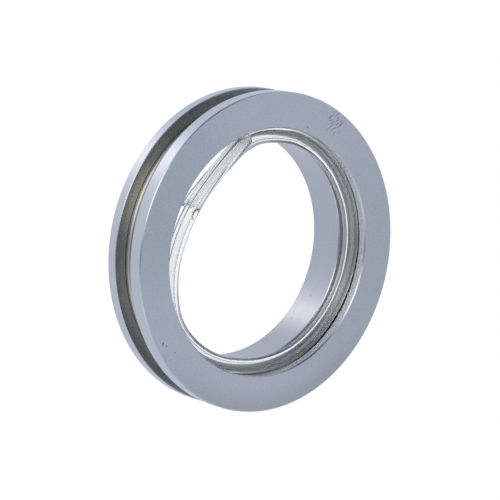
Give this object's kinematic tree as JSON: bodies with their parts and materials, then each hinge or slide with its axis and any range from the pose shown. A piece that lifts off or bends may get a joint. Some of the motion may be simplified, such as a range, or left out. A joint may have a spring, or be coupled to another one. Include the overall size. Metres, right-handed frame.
{
  "type": "thrust ball bearing",
  "caption": "Single-direction thrust ball bearing with grooved housing and shaft washers and a caged row of balls, carrying axial load on a rotating shaft.",
  "frame": {"origin": "on the bearing axis, in the plane of the flat seat under the lower (shaft) washer", "axes": "+Z along the bearing axis, up through the housing washer's flat face; +X and +Y lie in the seat plane, with the first ball on +X"},
  "size_m": [0.25, 0.25, 0.055],
  "materials": {
    "housing_steel": "satin",
    "shaft_steel": "satin",
    "cage_brass": "satin",
    "ball_steel": "polished",
    "clear_hose": "gloss"
  },
  "bodies": {
    "housing": {"housing_washer": "housing_steel", "retaining_hose": "clear_hose"},
    "shaft": {"shaft_washer": "shaft_steel"},
    "cage": {"ball_cage": "cage_brass"},
    "ball_01": {"ball_01": "ball_steel"},
    "ball_02": {"ball_02": "ball_steel"},
    "ball_03": {"ball_03": "ball_steel"},
    "ball_04": {"ball_04": "ball_steel"},
    "ball_05": {"ball_05": "ball_steel"},
    "ball_06": {"ball_06": "ball_steel"},
    "ball_07": {"ball_07": "ball_steel"},
    "ball_08": {"ball_08": "ball_steel"},
    "ball_09": {"ball_09": "ball_steel"},
    "ball_10": {"ball_10": "ball_steel"},
    "ball_11": {"ball_11": "ball_steel"},
    "ball_12": {"ball_12": "ball_steel"},
    "ball_13": {"ball_13": "ball_steel"},
    "ball_14": {"ball_14": "ball_steel"},
    "ball_15": {"ball_15": "ball_steel"},
    "ball_16": {"ball_16": "ball_steel"},
    "ball_17": {"ball_17": "ball_steel"},
    "ball_18": {"ball_18": "ball_steel"},
    "ball_19": {"ball_19": "ball_steel"},
    "ball_20": {"ball_20": "ball_steel"},
    "ball_21": {"ball_21": "ball_steel"},
    "ball_22": {"ball_22": "ball_steel"},
    "ball_23": {"ball_23": "ball_steel"},
    "ball_24": {"ball_24": "ball_steel"},
    "ball_25": {"ball_25": "ball_steel"},
    "ball_26": {"ball_26": "ball_steel"},
    "ball_27": {"ball_27": "ball_steel"},
    "ball_28": {"ball_28": "ball_steel"},
    "ball_29": {"ball_29": "ball_steel"},
    "ball_30": {"ball_30": "ball_steel"},
    "ball_31": {"ball_31": "ball_steel"},
    "ball_32": {"ball_32": "ball_steel"},
    "ball_33": {"ball_33": "ball_steel"},
    "ball_34": {"ball_34": "ball_steel"},
    "ball_35": {"ball_35": "ball_steel"},
    "ball_36": {"ball_36": "ball_steel"}
  },
  "joints": [
    {"name": "shaft_washer_spin", "type": "hinge", "parent": "housing", "child": "shaft", "pos_m": [0, 0, 0.0275], "axis": [0, 0, 1], "continuous": true},
    {"name": "cage_orbit", "type": "hinge", "parent": "housing", "child": "cage", "pos_m": [0, 0, 0.03708], "axis": [0, 0, 1], "continuous": true},
    {"name": "ball_01_spin", "type": "hinge", "parent": "cage", "child": "ball_01", "pos_m": [0.1073, 0, 0.03708], "axis": [1, 0, 0], "continuous": true},
    {"name": "ball_02_spin", "type": "hinge", "parent": "cage", "child": "ball_02", "pos_m": [0.10567, 0.01863, 0.03708], "axis": [0.9848, 0.1736, 0], "continuous": true},
    {"name": "ball_03_spin", "type": "hinge", "parent": "cage", "child": "ball_03", "pos_m": [0.10083, 0.0367, 0.03708], "axis": [0.9397, 0.342, 0], "continuous": true},
    {"name": "ball_04_spin", "type": "hinge", "parent": "cage", "child": "ball_04", "pos_m": [0.09292, 0.05365, 0.03708], "axis": [0.866, 0.5, 0], "continuous": true},
    {"name": "ball_05_spin", "type": "hinge", "parent": "cage", "child": "ball_05", "pos_m": [0.0822, 0.06897, 0.03708], "axis": [0.766, 0.6428, 0], "continuous": true},
    {"name": "ball_06_spin", "type": "hinge", "parent": "cage", "child": "ball_06", "pos_m": [0.06897, 0.0822, 0.03708], "axis": [0.6428, 0.766, 0], "continuous": true},
    {"name": "ball_07_spin", "type": "hinge", "parent": "cage", "child": "ball_07", "pos_m": [0.05365, 0.09292, 0.03708], "axis": [0.5, 0.866, 0], "continuous": true},
    {"name": "ball_08_spin", "type": "hinge", "parent": "cage", "child": "ball_08", "pos_m": [0.0367, 0.10083, 0.03708], "axis": [0.342, 0.9397, 0], "continuous": true},
    {"name": "ball_09_spin", "type": "hinge", "parent": "cage", "child": "ball_09", "pos_m": [0.01863, 0.10567, 0.03708], "axis": [0.1736, 0.9848, 0], "continuous": true},
    {"name": "ball_10_spin", "type": "hinge", "parent": "cage", "child": "ball_10", "pos_m": [0, 0.1073, 0.03708], "axis": [0, 1, 0], "continuous": true},
    {"name": "ball_11_spin", "type": "hinge", "parent": "cage", "child": "ball_11", "pos_m": [-0.01863, 0.10567, 0.03708], "axis": [-0.1736, 0.9848, 0], "continuous": true},
    {"name": "ball_12_spin", "type": "hinge", "parent": "cage", "child": "ball_12", "pos_m": [-0.0367, 0.10083, 0.03708], "axis": [-0.342, 0.9397, 0], "continuous": true},
    {"name": "ball_13_spin", "type": "hinge", "parent": "cage", "child": "ball_13", "pos_m": [-0.05365, 0.09292, 0.03708], "axis": [-0.5, 0.866, 0], "continuous": true},
    {"name": "ball_14_spin", "type": "hinge", "parent": "cage", "child": "ball_14", "pos_m": [-0.06897, 0.0822, 0.03708], "axis": [-0.6428, 0.766, 0], "continuous": true},
    {"name": "ball_15_spin", "type": "hinge", "parent": "cage", "child": "ball_15", "pos_m": [-0.0822, 0.06897, 0.03708], "axis": [-0.766, 0.6428, 0], "continuous": true},
    {"name": "ball_16_spin", "type": "hinge", "parent": "cage", "child": "ball_16", "pos_m": [-0.09292, 0.05365, 0.03708], "axis": [-0.866, 0.5, 0], "continuous": true},
    {"name": "ball_17_spin", "type": "hinge", "parent": "cage", "child": "ball_17", "pos_m": [-0.10083, 0.0367, 0.03708], "axis": [-0.9397, 0.342, 0], "continuous": true},
    {"name": "ball_18_spin", "type": "hinge", "parent": "cage", "child": "ball_18", "pos_m": [-0.10567, 0.01863, 0.03708], "axis": [-0.9848, 0.1736, 0], "continuous": true},
    {"name": "ball_19_spin", "type": "hinge", "parent": "cage", "child": "ball_19", "pos_m": [-0.1073, 0, 0.03708], "axis": [-1, 0, 0], "continuous": true},
    {"name": "ball_20_spin", "type": "hinge", "parent": "cage", "child": "ball_20", "pos_m": [-0.10567, -0.01863, 0.03708], "axis": [-0.9848, -0.1736, 0], "continuous": true},
    {"name": "ball_21_spin", "type": "hinge", "parent": "cage", "child": "ball_21", "pos_m": [-0.10083, -0.0367, 0.03708], "axis": [-0.9397, -0.342, 0], "continuous": true},
    {"name": "ball_22_spin", "type": "hinge", "parent": "cage", "child": "ball_22", "pos_m": [-0.09292, -0.05365, 0.03708], "axis": [-0.866, -0.5, 0], "continuous": true},
    {"name": "ball_23_spin", "type": "hinge", "parent": "cage", "child": "ball_23", "pos_m": [-0.0822, -0.06897, 0.03708], "axis": [-0.766, -0.6428, 0], "continuous": true},
    {"name": "ball_24_spin", "type": "hinge", "parent": "cage", "child": "ball_24", "pos_m": [-0.06897, -0.0822, 0.03708], "axis": [-0.6428, -0.766, 0], "continuous": true},
    {"name": "ball_25_spin", "type": "hinge", "parent": "cage", "child": "ball_25", "pos_m": [-0.05365, -0.09292, 0.03708], "axis": [-0.5, -0.866, 0], "continuous": true},
    {"name": "ball_26_spin", "type": "hinge", "parent": "cage", "child": "ball_26", "pos_m": [-0.0367, -0.10083, 0.03708], "axis": [-0.342, -0.9397, 0], "continuous": true},
    {"name": "ball_27_spin", "type": "hinge", "parent": "cage", "child": "ball_27", "pos_m": [-0.01863, -0.10567, 0.03708], "axis": [-0.1736, -0.9848, 0], "continuous": true},
    {"name": "ball_28_spin", "type": "hinge", "parent": "cage", "child": "ball_28", "pos_m": [0, -0.1073, 0.03708], "axis": [0, -1, 0], "continuous": true},
    {"name": "ball_29_spin", "type": "hinge", "parent": "cage", "child": "ball_29", "pos_m": [0.01863, -0.10567, 0.03708], "axis": [0.1736, -0.9848, 0], "continuous": true},
    {"name": "ball_30_spin", "type": "hinge", "parent": "cage", "child": "ball_30", "pos_m": [0.0367, -0.10083, 0.03708], "axis": [0.342, -0.9397, 0], "continuous": true},
    {"name": "ball_31_spin", "type": "hinge", "parent": "cage", "child": "ball_31", "pos_m": [0.05365, -0.09292, 0.03708], "axis": [0.5, -0.866, 0], "continuous": true},
    {"name": "ball_32_spin", "type": "hinge", "parent": "cage", "child": "ball_32", "pos_m": [0.06897, -0.0822, 0.03708], "axis": [0.6428, -0.766, 0], "continuous": true},
    {"name": "ball_33_spin", "type": "hinge", "parent": "cage", "child": "ball_33", "pos_m": [0.0822, -0.06897, 0.03708], "axis": [0.766, -0.6428, 0], "continuous": true},
    {"name": "ball_34_spin", "type": "hinge", "parent": "cage", "child": "ball_34", "pos_m": [0.09292, -0.05365, 0.03708], "axis": [0.866, -0.5, 0], "continuous": true},
    {"name": "ball_35_spin", "type": "hinge", "parent": "cage", "child": "ball_35", "pos_m": [0.10083, -0.0367, 0.03708], "axis": [0.9397, -0.342, 0], "continuous": true},
    {"name": "ball_36_spin", "type": "hinge", "parent": "cage", "child": "ball_36", "pos_m": [0.10567, -0.01863, 0.03708], "axis": [0.9848, -0.1736, 0], "continuous": true}
  ],
  "couplings": [
    {"joint": "cage_orbit", "follows": "shaft_washer_spin", "ratio": 0.5},
    {"joint": "ball_01_spin", "follows": "shaft_washer_spin", "ratio": 7.9517},
    {"joint": "ball_02_spin", "follows": "shaft_washer_spin", "ratio": 7.9517},
    {"joint": "ball_03_spin", "follows": "shaft_washer_spin", "ratio": 7.9517},
    {"joint": "ball_04_spin", "follows": "shaft_washer_spin", "ratio": 7.9517},
    {"joint": "ball_05_spin", "follows": "shaft_washer_spin", "ratio": 7.9517},
    {"joint": "ball_06_spin", "follows": "shaft_washer_spin", "ratio": 7.9517},
    {"joint": "ball_07_spin", "follows": "shaft_washer_spin", "ratio": 7.9517},
    {"joint": "ball_08_spin", "follows": "shaft_washer_spin", "ratio": 7.9517},
    {"joint": "ball_09_spin", "follows": "shaft_washer_spin", "ratio": 7.9517},
    {"joint": "ball_10_spin", "follows": "shaft_washer_spin", "ratio": 7.9517},
    {"joint": "ball_11_spin", "follows": "shaft_washer_spin", "ratio": 7.9517},
    {"joint": "ball_12_spin", "follows": "shaft_washer_spin", "ratio": 7.9517},
    {"joint": "ball_13_spin", "follows": "shaft_washer_spin", "ratio": 7.9517},
    {"joint": "ball_14_spin", "follows": "shaft_washer_spin", "ratio": 7.9517},
    {"joint": "ball_15_spin", "follows": "shaft_washer_spin", "ratio": 7.9517},
    {"joint": "ball_16_spin", "follows": "shaft_washer_spin", "ratio": 7.9517},
    {"joint": "ball_17_spin", "follows": "shaft_washer_spin", "ratio": 7.9517},
    {"joint": "ball_18_spin", "follows": "shaft_washer_spin", "ratio": 7.9517},
    {"joint": "ball_19_spin", "follows": "shaft_washer_spin", "ratio": 7.9517},
    {"joint": "ball_20_spin", "follows": "shaft_washer_spin", "ratio": 7.9517},
    {"joint": "ball_21_spin", "follows": "shaft_washer_spin", "ratio": 7.9517},
    {"joint": "ball_22_spin", "follows": "shaft_washer_spin", "ratio": 7.9517},
    {"joint": "ball_23_spin", "follows": "shaft_washer_spin", "ratio": 7.9517},
    {"joint": "ball_24_spin", "follows": "shaft_washer_spin", "ratio": 7.9517},
    {"joint": "ball_25_spin", "follows": "shaft_washer_spin", "ratio": 7.9517},
    {"joint": "ball_26_spin", "follows": "shaft_washer_spin", "ratio": 7.9517},
    {"joint": "ball_27_spin", "follows": "shaft_washer_spin", "ratio": 7.9517},
    {"joint": "ball_28_spin", "follows": "shaft_washer_spin", "ratio": 7.9517},
    {"joint": "ball_29_spin", "follows": "shaft_washer_spin", "ratio": 7.9517},
    {"joint": "ball_30_spin", "follows": "shaft_washer_spin", "ratio": 7.9517},
    {"joint": "ball_31_spin", "follows": "shaft_washer_spin", "ratio": 7.9517},
    {"joint": "ball_32_spin", "follows": "shaft_washer_spin", "ratio": 7.9517},
    {"joint": "ball_33_spin", "follows": "shaft_washer_spin", "ratio": 7.9517},
    {"joint": "ball_34_spin", "follows": "shaft_washer_spin", "ratio": 7.9517},
    {"joint": "ball_35_spin", "follows": "shaft_washer_spin", "ratio": 7.9517},
    {"joint": "ball_36_spin", "follows": "shaft_washer_spin", "ratio": 7.9517}
  ]
}
